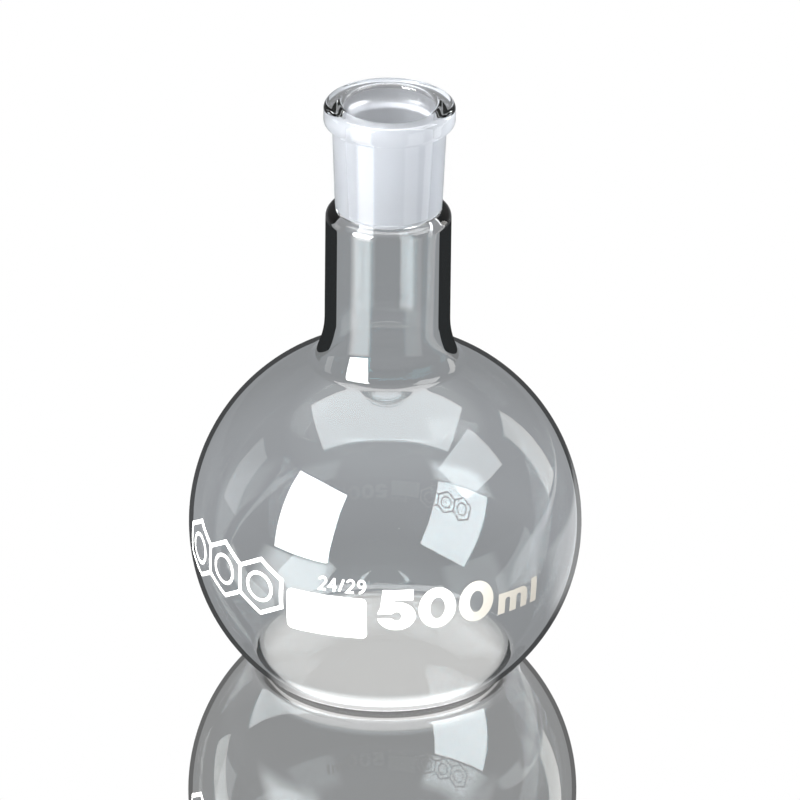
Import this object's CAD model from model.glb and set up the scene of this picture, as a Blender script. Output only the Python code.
from math import acos, atan2, cos, degrees, dist, pi, radians, sin, sqrt, tau

import bmesh
import bpy
from mathutils import Matrix, Vector


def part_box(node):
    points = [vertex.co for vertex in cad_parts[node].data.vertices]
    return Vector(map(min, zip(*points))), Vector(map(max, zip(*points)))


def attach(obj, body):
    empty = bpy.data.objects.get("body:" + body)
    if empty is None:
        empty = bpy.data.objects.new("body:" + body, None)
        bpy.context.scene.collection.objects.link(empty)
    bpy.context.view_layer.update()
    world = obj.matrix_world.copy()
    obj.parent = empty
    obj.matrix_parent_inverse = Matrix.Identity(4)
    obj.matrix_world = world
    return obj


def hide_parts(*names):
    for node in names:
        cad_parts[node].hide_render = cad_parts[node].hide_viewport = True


# A flat bottom boiling flask of clear borosilicate glass, with a ground socket and enamel print.
# Metres, +Z up the neck, origin at the middle of the base. The print faces -Y.

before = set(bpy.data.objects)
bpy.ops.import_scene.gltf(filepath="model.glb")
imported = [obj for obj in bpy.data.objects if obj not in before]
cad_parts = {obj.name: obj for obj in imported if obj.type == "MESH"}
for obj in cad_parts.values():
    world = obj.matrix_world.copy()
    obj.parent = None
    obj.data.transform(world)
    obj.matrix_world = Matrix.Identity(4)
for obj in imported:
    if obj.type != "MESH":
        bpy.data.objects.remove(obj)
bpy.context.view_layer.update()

# ---------------------------------------------------------------- sizes, from the frame
bulb_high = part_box("bulb")[1]
neck_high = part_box("neck")[1]
socket_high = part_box("ground_socket")[1]

MM = 0.001
PRINT_CLEARANCE = 0.02 * MM  # the bulb's face stays this far behind the enamel's back
BULB_RADIUS = bulb_high.x - PRINT_CLEARANCE
BULB_CENTRE = (0.0, 40.5 * MM)
BULB_WALL = 1.2 * MM
INNER_RADIUS = BULB_RADIUS - BULB_WALL
BASE_THICKNESS = 2.3 * MM
BASE_CORNER = 5.0 * MM
BASE_INNER_CORNER = 6.0 * MM
PUNT_RADIUS = 24.0 * MM
PUNT_RISE = 0.5 * MM

NECK_RADIUS = 16.66 * MM
NECK_BORE = 13.5 * MM
FLARE_RADIUS = 25.0 * MM
FLARE_TURN = 25.0
WELD_RADIUS = 4.0 * MM
INNER_WELD = 8.0 * MM
SHOULDER_START = 130.2 * MM
INNER_SHOULDER_START = 129.0 * MM

SOCKET_FOOT = neck_high.z
SOCKET_TOP = socket_high.z
FOOT_RADIUS = 14.15 * MM
JOINT_WIDE = 12.0 * MM
JOINT_LENGTH = 29.0 * MM
JOINT_NARROW = JOINT_WIDE - JOINT_LENGTH / 20
JOINT_MOUTH = SOCKET_FOOT + JOINT_LENGTH
BEAD_FOOT_RADIUS = 15.11 * MM
BEAD_FOOT = 156.95 * MM
BEAD_RADIUS = socket_high.x
BEAD_EDGE = 1.6 * MM
MOUTH_EDGE = 1.2 * MM

ROUND_STEPS = 192
MERGE_DISTANCE = 0.001 * MM
SHARP_TURN = radians(28)

# slots of a glass piece
CLEAR, FUSED, GROUND, THICK, NECK = 0, 1, 2, 3, 4


# ---------------------------------------------------------------- outlines of the glass
def on_circle(centre, radius, angle):
    """The point of a circle at an angle in degrees."""
    return (centre[0] + radius * cos(radians(angle)), centre[1] + radius * sin(radians(angle)))


def arc(centre, radius, start, end, steps):
    """Points along an arc, from one angle to another."""
    return [on_circle(centre, radius, start + (end - start) * i / steps) for i in range(steps + 1)]


def direction(start, end):
    return degrees(atan2(end[1] - start[1], end[0] - start[0]))


def line(start, end, steps):
    """Points along a straight run."""
    return [
        (start[0] + (end[0] - start[0]) * i / steps, start[1] + (end[1] - start[1]) * i / steps)
        for i in range(steps + 1)
    ]


def centre_above(radius_out, distance):
    return (radius_out, BULB_CENTRE[1] + sqrt(distance**2 - radius_out**2))


def centre_below(height, distance):
    return (sqrt(distance**2 - (BULB_CENTRE[1] - height) ** 2), height)


weld_centre = centre_above(
    NECK_RADIUS
    + FLARE_RADIUS * (1 - cos(radians(FLARE_TURN)))
    + WELD_RADIUS * cos(radians(FLARE_TURN)),
    BULB_RADIUS + WELD_RADIUS,
)
flare_end = on_circle(weld_centre, WELD_RADIUS, 180 + FLARE_TURN)
flare_centre = (NECK_RADIUS + FLARE_RADIUS, flare_end[1] + FLARE_RADIUS * sin(radians(FLARE_TURN)))
inner_flare = FLARE_RADIUS + NECK_RADIUS - NECK_BORE
inner_weld_distance = INNER_RADIUS + INNER_WELD
flare_distance = dist(BULB_CENTRE, flare_centre)
inner_weld_angle = direction(BULB_CENTRE, flare_centre) + degrees(
    acos(
        (flare_distance**2 + inner_weld_distance**2 - (inner_flare - INNER_WELD) ** 2)
        / (2 * flare_distance * inner_weld_distance)
    )
)
inner_weld_centre = on_circle(BULB_CENTRE, inner_weld_distance, inner_weld_angle)
inner_flare_turn = direction(inner_weld_centre, flare_centre)
corner_centre = centre_below(BASE_CORNER, BULB_RADIUS - BASE_CORNER)
inner_corner_centre = centre_below(
    BASE_THICKNESS + BASE_INNER_CORNER, INNER_RADIUS - BASE_INNER_CORNER
)
seam_angle = direction(BULB_CENTRE, weld_centre)
outer_seam = on_circle(BULB_CENTRE, BULB_RADIUS, seam_angle)
inner_seam = on_circle(BULB_CENTRE, INNER_RADIUS, seam_angle)
corner_angle = direction(BULB_CENTRE, corner_centre)
inner_corner_angle = direction(BULB_CENTRE, inner_corner_centre)


def punt(lift):
    """The shallow dome of the base, from the axis to its rim."""
    radius = (PUNT_RADIUS**2 + PUNT_RISE**2) / (2 * PUNT_RISE)
    half = degrees(atan2(PUNT_RADIUS, radius - PUNT_RISE))
    return arc((0.0, lift + PUNT_RISE - radius), radius, 90, 90 - half, 16)


def shoulder(radius, foot_radius, start, end):
    """The round-over from an upright wall in to a smaller radius, from the top down."""
    step, drop = radius - foot_radius, end - start
    turn_radius = (step**2 + drop**2) / (2 * step)
    turn = degrees(atan2(drop, turn_radius - step))
    return arc((radius - turn_radius, start), turn_radius, turn, 0, 12)


# Each run is a list of points with the slot of its own face. The points go round the section once.
bulb_runs = [
    (THICK, punt(0.0)),
    (THICK, line((PUNT_RADIUS, 0.0), (corner_centre[0], 0.0), 4)),
    (THICK, arc(corner_centre, BASE_CORNER, -90, corner_angle, 10)),
    (CLEAR, arc(BULB_CENTRE, BULB_RADIUS, corner_angle, seam_angle, 88)),
    (FUSED, [outer_seam, inner_seam]),
    (CLEAR, arc(BULB_CENTRE, INNER_RADIUS, seam_angle, inner_corner_angle, 88)),
    (THICK, arc(inner_corner_centre, BASE_INNER_CORNER, inner_corner_angle, -90, 12)),
    (THICK, line((inner_corner_centre[0], BASE_THICKNESS), (PUNT_RADIUS, BASE_THICKNESS), 4)),
    (THICK, punt(BASE_THICKNESS)),
]
neck_runs = [
    (NECK, arc(weld_centre, WELD_RADIUS, seam_angle + 180, 180 + FLARE_TURN, 12)),
    (NECK, arc(flare_centre, FLARE_RADIUS, 180 + FLARE_TURN, 180, 16)),
    (NECK, line((NECK_RADIUS, flare_centre[1]), (NECK_RADIUS, SHOULDER_START), 10)),
    (THICK, shoulder(NECK_RADIUS, FOOT_RADIUS, SHOULDER_START, SOCKET_FOOT)),
    (FUSED, [(FOOT_RADIUS, SOCKET_FOOT), (JOINT_NARROW, SOCKET_FOOT)]),
    (THICK, shoulder(NECK_BORE, JOINT_NARROW, INNER_SHOULDER_START, SOCKET_FOOT)),
    (NECK, line((NECK_BORE, INNER_SHOULDER_START), (NECK_BORE, flare_centre[1]), 10)),
    (NECK, arc(flare_centre, inner_flare, 180, 180 + inner_flare_turn, 12)),
    (NECK, arc(inner_weld_centre, INNER_WELD, 180 + inner_flare_turn, 180 + inner_weld_angle, 16)),
    (CLEAR, arc(BULB_CENTRE, INNER_RADIUS, inner_weld_angle, seam_angle, 2)),
    (FUSED, [inner_seam, outer_seam]),
]
edge_radius_out = BEAD_RADIUS - BEAD_EDGE
mouth_radius = JOINT_WIDE + MOUTH_EDGE
socket_runs = [
    (THICK, line((FOOT_RADIUS, SOCKET_FOOT), (BEAD_FOOT_RADIUS, BEAD_FOOT), 8)),
    (THICK, [(BEAD_FOOT_RADIUS, BEAD_FOOT), (edge_radius_out, BEAD_FOOT)]),
    (THICK, arc((edge_radius_out, BEAD_FOOT + BEAD_EDGE), BEAD_EDGE, -90, 0, 10)),
    (THICK, line((BEAD_RADIUS, BEAD_FOOT + BEAD_EDGE), (BEAD_RADIUS, SOCKET_TOP - BEAD_EDGE), 4)),
    (THICK, arc((edge_radius_out, SOCKET_TOP - BEAD_EDGE), BEAD_EDGE, 0, 90, 10)),
    (THICK, line((edge_radius_out, SOCKET_TOP), (mouth_radius, SOCKET_TOP), 4)),
    (THICK, arc((mouth_radius, JOINT_MOUTH), MOUTH_EDGE, 90, 180, 8)),
    (GROUND, line((JOINT_WIDE, JOINT_MOUTH), (JOINT_NARROW, SOCKET_FOOT), 12)),
    (FUSED, [(JOINT_NARROW, SOCKET_FOOT), (FOOT_RADIUS, SOCKET_FOOT)]),
]


# ---------------------------------------------------------------- lathe work
def turned(name, runs, materials):
    """A closed body of revolution from the runs of its outline."""
    mesh = bpy.data.meshes.new(name)
    body = bmesh.new()
    for slot_index, points in runs:
        part = bmesh.new()
        rim = [part.verts.new((r, 0.0, z)) for r, z in points]
        edges = [part.edges.new(pair) for pair in zip(rim, rim[1:])]
        bmesh.ops.spin(
            part, geom=rim + edges, cent=(0, 0, 0), axis=(0, 0, 1), angle=tau,
            steps=ROUND_STEPS, use_merge=True,
        )
        for face in part.faces:
            face.material_index = slot_index
            face.smooth = True
        part.to_mesh(mesh)
        part.free()
        body.from_mesh(mesh)
    bmesh.ops.remove_doubles(body, verts=body.verts, dist=MERGE_DISTANCE)
    bmesh.ops.recalc_face_normals(body, faces=body.faces)
    body.to_mesh(mesh)
    body.free()
    mesh.set_sharp_from_angle(angle=SHARP_TURN)
    piece = bpy.data.objects.new(name, mesh)
    bpy.context.scene.collection.objects.link(piece)
    for material in materials:
        mesh.materials.append(material)
    return piece


# ---------------------------------------------------------------- shader maths
class Value:
    """A socket that takes part in sums."""

    def __init__(self, shader, socket):
        self.shader = shader
        self.socket = socket

    def math(self, operation, *values):
        return self.shader.node("Math", {"operation": operation}, dict(enumerate(values))).value()

    def __add__(self, other):
        return self.math("ADD", self, other)

    def __sub__(self, other):
        return self.math("SUBTRACT", self, other)

    def __rsub__(self, other):
        return self.math("SUBTRACT", other, self)

    def __mul__(self, other):
        return self.math("MULTIPLY", self, other)

    __radd__, __rmul__ = __add__, __mul__

    def at_most(self, other):
        return self.math("MINIMUM", self, other)

    def arctan2(self, other):
        return self.math("ARCTAN2", self, other)

    def below(self, other):
        return self.math("LESS_THAN", self, other)


class Node:
    """A node with its outputs read by name."""

    def __init__(self, shader, node):
        self.shader = shader
        self.made = node

    def value(self, name=0):
        return Value(self.shader, self.made.outputs[name])


class Shader:
    """The nodes of a material or of the world."""

    def __init__(self, owner):
        owner.use_nodes = True
        self.tree = owner.node_tree
        self.tree.nodes.clear()

    def node(self, kind, settings=None, inputs=None):
        """A node of a kind, with its settings made first and then its sockets filled."""
        made = self.tree.nodes.new("ShaderNode" + kind)
        for name, setting in (settings or {}).items():
            if name == "stops":
                self.set_stops(made.color_ramp, setting)
            else:
                setattr(made, name, setting)
        for name, value in (inputs or {}).items():
            if isinstance(value, Node):
                value = value.value()
            if isinstance(value, Value):
                self.tree.links.new(value.socket, made.inputs[name])
            else:
                made.inputs[name].default_value = value
        return Node(self, made)

    def set_stops(self, ramp, stops):
        """Fills a colour ramp with (place, colour) stops."""
        for place, colour in stops[2:]:
            ramp.elements.new(place)
        for element, (place, colour) in zip(ramp.elements, stops):
            element.position = place
            element.color = colour

    def ramp(self, value, *stops):
        """A colour that runs through stops of (place, grey or colour)."""
        full = [(place, (*([c] * 3 if isinstance(c, float) else c), 1.0)) for place, c in stops]
        return self.node("ValToRGB", {"stops": full}, {0: value}).value()

    def level(self, value, *stops):
        """A number that runs through stops of (place, number)."""
        return self.part(self.ramp(value, *stops), "X")

    def part(self, vector, axis):
        """One number of a vector or a colour."""
        return self.node("SeparateXYZ", {}, {0: vector}).value(axis)

    def surface(self, shader_node, output="OutputMaterial"):
        self.node(output, {}, {"Surface": shader_node})


# ---------------------------------------------------------------- materials
GLASS_IOR = 1.474
MIRROR_IOR = 1.56
GLASS_TINT = (0.99, 0.997, 1.0, 1.0)
MIRROR_ROUGHNESS = 0.02
# The largest share of light that a face mirrors. It is low inside a wall, which leaves dark edges.
THICK_LIMIT = 1.0
WALL_LIMIT = 0.22
NECK_LIMIT = 0.08
INSIDE_LIMIT = 0.012
WHITE = (1.0, 1.0, 1.0, 1.0)
WALL_EDGE_TINT = (0.5, 0.9, 1.0, 1.0)
NECK_EDGE_TINT = (0.3, 0.85, 1.0, 1.0)
WAVE_HEIGHT = 0.02 * MM
SEED_HEIGHT = 0.03 * MM
# How much of the ground face scatters: everywhere, more from within the glass, more by the bead.
FROST_LEAST = 0.08
FROST_WITHIN = 0.62
FROST_AT_BEAD = 0.6
FROST_MOST = 0.72


def blown_waves(shader, wave_height):
    """The faint waves of blown glass, drawn out up the flask, and a few small seeds."""
    place = shader.node("TexCoord").value("Object")
    drawn = shader.node("Mapping", {}, {"Vector": place, "Scale": (1.0, 1.0, 0.3)})
    wave = shader.node("TexNoise", {}, {"Vector": drawn, "Scale": 45.0, "Detail": 1.0}).value("Fac")
    spacing = shader.node("TexVoronoi", {}, {"Vector": place, "Scale": 130.0}).value("Distance")
    seed = shader.level(spacing, (0.0, 1.0), (0.035, 0.0))
    height = wave * wave_height + seed * SEED_HEIGHT
    return shader.node("Bump", {}, {"Strength": 1.0, "Distance": 1.0, "Height": height}).value()


def glass(name, outside_limit, inside_limit, inside_tint, wave_height):
    """Fire polished borosilicate, which bends the light and mirrors a share of it."""
    material = bpy.data.materials.new(name)
    shader = Shader(material)
    waves = {"Normal": blown_waves(shader, wave_height)} if wave_height else {}
    bend = shader.node(
        "BsdfRefraction", {}, {"Color": GLASS_TINT, "Roughness": 0.0, "IOR": GLASS_IOR, **waves}
    )
    inside = shader.node("NewGeometry").value("Backfacing")
    outer_mirror = shader.node(
        "BsdfAnisotropic", {}, {"Color": WHITE, "Roughness": MIRROR_ROUGHNESS, **waves}
    )
    inner_mirror = shader.node(
        "BsdfAnisotropic", {}, {"Color": inside_tint, "Roughness": MIRROR_ROUGHNESS, **waves}
    )
    mirror = shader.node("MixShader", {}, {0: inside, 1: outer_mirror, 2: inner_mirror})
    limit = outside_limit + inside * (inside_limit - outside_limit)
    share = shader.node("Fresnel", {}, {"IOR": MIRROR_IOR}).value().at_most(limit)
    shader.surface(shader.node("MixShader", {}, {0: share, 1: bend, 2: mirror}))
    return material


def ground_glass():
    """The matt inside of the socket, whiter from within the glass and where the bead begins."""
    material = bpy.data.materials.new("ground_glass")
    shader = Shader(material)
    bend = shader.node(
        "BsdfRefraction", {}, {"Color": (0.95, 0.97, 1.0, 1), "Roughness": 0.6, "IOR": GLASS_IOR}
    )
    haze = shader.node("BsdfTranslucent", {}, {"Color": (0.82, 0.85, 0.9, 1)})
    frost = shader.node("BsdfDiffuse", {}, {"Color": (0.78, 0.8, 0.84, 1)})
    white = shader.node("MixShader", {}, {0: 0.6, 1: haze, 2: frost})
    height = shader.part(shader.node("TexCoord").value("Object"), "Z")
    above_bead_foot = (height - BEAD_FOOT) * 100.0 + 0.5
    lit = shader.level(above_bead_foot, (0.4, 0.0), (0.49, 1.0), (0.55, 1.0), (0.63, 0.0))
    within = shader.node("NewGeometry").value("Backfacing")
    share = (within * FROST_WITHIN + lit * FROST_AT_BEAD + FROST_LEAST).at_most(FROST_MOST)
    shader.surface(shader.node("MixShader", {}, {0: share, 1: bend, 2: white}))
    return material


def fused_seam():
    """Where two pieces of glass are melted into one there is nothing to see."""
    material = bpy.data.materials.new("fused_seam")
    shader = Shader(material)
    shader.surface(shader.node("BsdfPrincipled", {}, {"Alpha": 0.0}))
    return material


def white_enamel():
    """Fired enamel: white, thinner and creamier toward the right, with a grainy face."""
    material = bpy.data.materials.new("white_enamel")
    shader = Shader(material)
    place = shader.node("TexCoord").value("Object")
    across = shader.part(place, "X")
    grain_size = {"Vector": place, "Scale": 900.0, "Detail": 2.0}
    grain = shader.node("TexNoise", {}, grain_size).value("Fac")
    thin = across * 20.0 + grain * 0.12
    colour = shader.ramp(
        thin, (0.34, (0.9, 0.9, 0.88)), (0.56, (0.6, 0.58, 0.52)), (0.8, (0.5, 0.475, 0.42))
    )
    shader.surface(
        shader.node("BsdfPrincipled", {}, {"Base Color": colour, "Roughness": grain * 0.2 + 0.35})
    )
    return material


glass_materials = [
    glass("borosilicate_wall", WALL_LIMIT, INSIDE_LIMIT, WALL_EDGE_TINT, WAVE_HEIGHT),
    fused_seam(),
    ground_glass(),
    glass("borosilicate_rim", THICK_LIMIT, THICK_LIMIT, WHITE, 0.0),
    glass("borosilicate_tube", NECK_LIMIT, INSIDE_LIMIT, NECK_EDGE_TINT, WAVE_HEIGHT),
]

# ---------------------------------------------------------------- pieces
for name, node, runs, slot_name in (
    ("blown_bulb", "bulb", bulb_runs, "clear_glass"),
    ("flared_neck", "neck", neck_runs, "clear_glass"),
    ("joint_socket", "ground_socket", socket_runs, "ground_glass"),
):
    piece = turned(name, runs, glass_materials)
    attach(piece, "root")
    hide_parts(node)

enamel = white_enamel()
for node in ("marking_spot", "capacity_number", "capacity_unit", "joint_size_mark", "maker_badge"):
    for index in range(len(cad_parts[node].data.materials)):
        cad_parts[node].data.materials[index] = enamel


# ---------------------------------------------------------------- studio
def white_share(shader):
    """1 for what is seen straight, in the table top or by a matt face, and 0 through the glass."""
    path = shader.node("LightPath")
    mirrored = path.value("Is Singular Ray") * path.value("Is Reflection Ray")
    straight = path.value("Is Camera Ray") + mirrored * path.value("Ray Depth").below(2.5)
    return (straight + path.value("Diffuse Depth")).at_most(1.0)


def studio_world():
    """White where it is seen straight. By way of the glass: grey all round, and light overhead."""
    world = bpy.data.worlds.new("studio")
    bpy.context.scene.world = world
    shader = Shader(world)
    height = shader.part(shader.node("TexCoord").value("Generated"), "Z")
    room = shader.ramp(height, (0.0, 0.2), (0.6, 0.2), (0.85, 0.8), (1.0, 0.8))
    white = shader.node("Background", {}, {"Color": WHITE, "Strength": 1.0})
    dim = shader.node("Background", {}, {"Color": room, "Strength": 1.0})
    shader.surface(
        shader.node("MixShader", {}, {0: white_share(shader), 1: dim, 2: white}), "OutputWorld"
    )


TABLE_GREY = (0.285, 0.288, 0.295)
TABLE_LIGHT = (0.345, 0.348, 0.36)
TABLE_UNDER_BASE = (0.72, 0.7, 0.68)
TABLE_MIRROR = 0.9
TABLE_RADIUS = 40.0
TABLE_GAP = 0.05 * MM  # keeps the table's face apart from that of the base


def sheen_on_table(shader, place, out):
    """The light that the glass shows on the table, by turn round the flask and distance out."""
    across = shader.node("SeparateXYZ", {}, {0: place})
    turn = across.value("X").arctan2(0.0 - across.value("Y")) * (1 / tau) + 0.5
    front = shader.level(
        turn, (0.3, 0.0), (0.33, 5.0), (0.405, 5.0), (0.42, 0.0),
        (0.582, 0.0), (0.597, 1.2), (0.665, 1.2), (0.68, 0.0),
    )
    front_reach = shader.level(out, (0.09, 0.0), (0.14, 1.0), (0.7, 1.0), (1.0, 0.0))
    back = shader.level(turn, (0.74, 0.0), (0.78, 0.9), (0.9, 0.9), (0.93, 0.0))
    back_reach = shader.level(out * 4.0, (0.22, 0.0), (0.3, 1.0), (0.66, 1.0), (0.76, 0.0))
    side = shader.level(turn - out * 0.22, (0.645, 0.0), (0.655, 1.5), (0.695, 1.5), (0.705, 0.0))
    side_reach = shader.level(out, (0.118, 0.0), (0.13, 1.0), (0.9, 1.0), (1.0, 0.0))
    foot = shader.level(turn, (0.33, 0.0), (0.4, 3.0), (0.6, 3.0), (0.67, 0.0))
    foot_rim = shader.level(out * 10.0, (0.32, 0.0), (0.335, 1.0), (0.385, 1.0), (0.41, 0.0))
    return front * front_reach + back * back_reach + side * side_reach + foot * foot_rim


def table_top():
    """A pale glossy table top. It is white where it is seen straight and grey through the glass."""
    material = bpy.data.materials.new("table_top")
    shader = Shader(material)
    path = shader.node("LightPath")
    place = shader.node("TexCoord").value("Object")
    out = shader.node("VectorMath", {"operation": "LENGTH"}, {0: place}).value("Value")
    grey = shader.ramp(
        out * 4.0, (0.0, TABLE_UNDER_BASE), (0.12, TABLE_UNDER_BASE), (0.145, TABLE_GREY),
        (0.22, TABLE_GREY), (0.4, TABLE_LIGHT), (0.62, TABLE_LIGHT), (0.85, TABLE_GREY),
    )
    mirror = shader.node("BsdfAnisotropic", {}, {"Color": WHITE, "Roughness": 0.0})
    bright = shader.node("Emission", {}, {"Color": WHITE, "Strength": 1.0})
    dim = shader.node("Emission", {}, {"Color": grey, "Strength": 1.0})
    glow = sheen_on_table(shader, place, out) * path.value("Glossy Depth").at_most(1.0)
    sheen = shader.node("Emission", {}, {"Color": glow, "Strength": 1.0})
    lit = shader.node("AddShader", {}, {0: dim, 1: sheen})
    matt = shader.node("MixShader", {}, {0: white_share(shader), 1: lit, 2: bright})
    share = path.value("Is Camera Ray") * TABLE_MIRROR
    shader.surface(shader.node("MixShader", {}, {0: share, 1: matt, 2: mirror}))
    body = bmesh.new()
    bmesh.ops.create_circle(body, cap_ends=True, segments=96, radius=TABLE_RADIUS)
    mesh = bpy.data.meshes.new("table")
    body.to_mesh(mesh)
    body.free()
    mesh.materials.append(material)
    table = bpy.data.objects.new("table", mesh)
    bpy.context.scene.collection.objects.link(table)
    table.location.z = -TABLE_GAP


LIGHT_AIM = Vector((0, 0, 60 * MM))


def softbox(name, azimuth, elevation, distance, width, height, radiance, colour=(1, 1, 1)):
    """A soft light that faces the bulb. Azimuth is counted from the front, to the right."""
    light = bpy.data.lights.new(name, "AREA")
    light.shape = "RECTANGLE"
    light.size = width
    light.size_y = height
    light.color = colour
    light.energy = radiance * pi * width * height
    lamp = bpy.data.objects.new(name, light)
    bpy.context.scene.collection.objects.link(lamp)
    flat = cos(radians(elevation))
    away = Vector(
        (sin(radians(azimuth)) * flat, -cos(radians(azimuth)) * flat, sin(radians(elevation)))
    )
    lamp.location = LIGHT_AIM + away * distance
    lamp.rotation_euler = away.to_track_quat("Z", "Y").to_euler()
    lamp.visible_camera = False


studio_world()
table_top()
softbox("key", -48.5, 18, 1.2, 0.75, 0.92, 26.0)
softbox("overhead", 180, 87, 1.2, 1.7, 0.85, 5.0)
softbox("right_strip", 120, 13, 1.2, 0.3, 0.7, 2.7, (1.0, 0.98, 0.94))
softbox("right_panel", 74, 40, 1.2, 0.75, 0.5, 4.5)
softbox("left_strip", -104, 6, 1.2, 0.3, 0.9, 1.2)

# ---------------------------------------------------------------- camera
CAMERA_ELEVATION = radians(25.8)
CAMERA_DISTANCE = 3.0
CAMERA_ROLL = radians(0.65)
CAMERA_LENS = 507.6
CAMERA_SENSOR = 36
CAMERA_AIM = Vector((3.59 * MM, 0, 76.35 * MM))
back = Vector((0, -cos(CAMERA_ELEVATION), sin(CAMERA_ELEVATION)))
camera_data = bpy.data.cameras.new("camera")
camera_data.lens = CAMERA_LENS
camera_data.sensor_width = CAMERA_SENSOR
camera_data.clip_start = 0.1
camera_data.clip_end = 200
camera = bpy.data.objects.new("camera", camera_data)
bpy.context.scene.collection.objects.link(camera)
turn = back.to_track_quat("Z", "Y").to_matrix() @ Matrix.Rotation(CAMERA_ROLL, 3, "Z")
camera.matrix_world = Matrix.Translation(CAMERA_AIM + back * CAMERA_DISTANCE) @ turn.to_4x4()
bpy.context.scene.camera = camera
bpy.context.scene.view_settings.view_transform = "Standard"
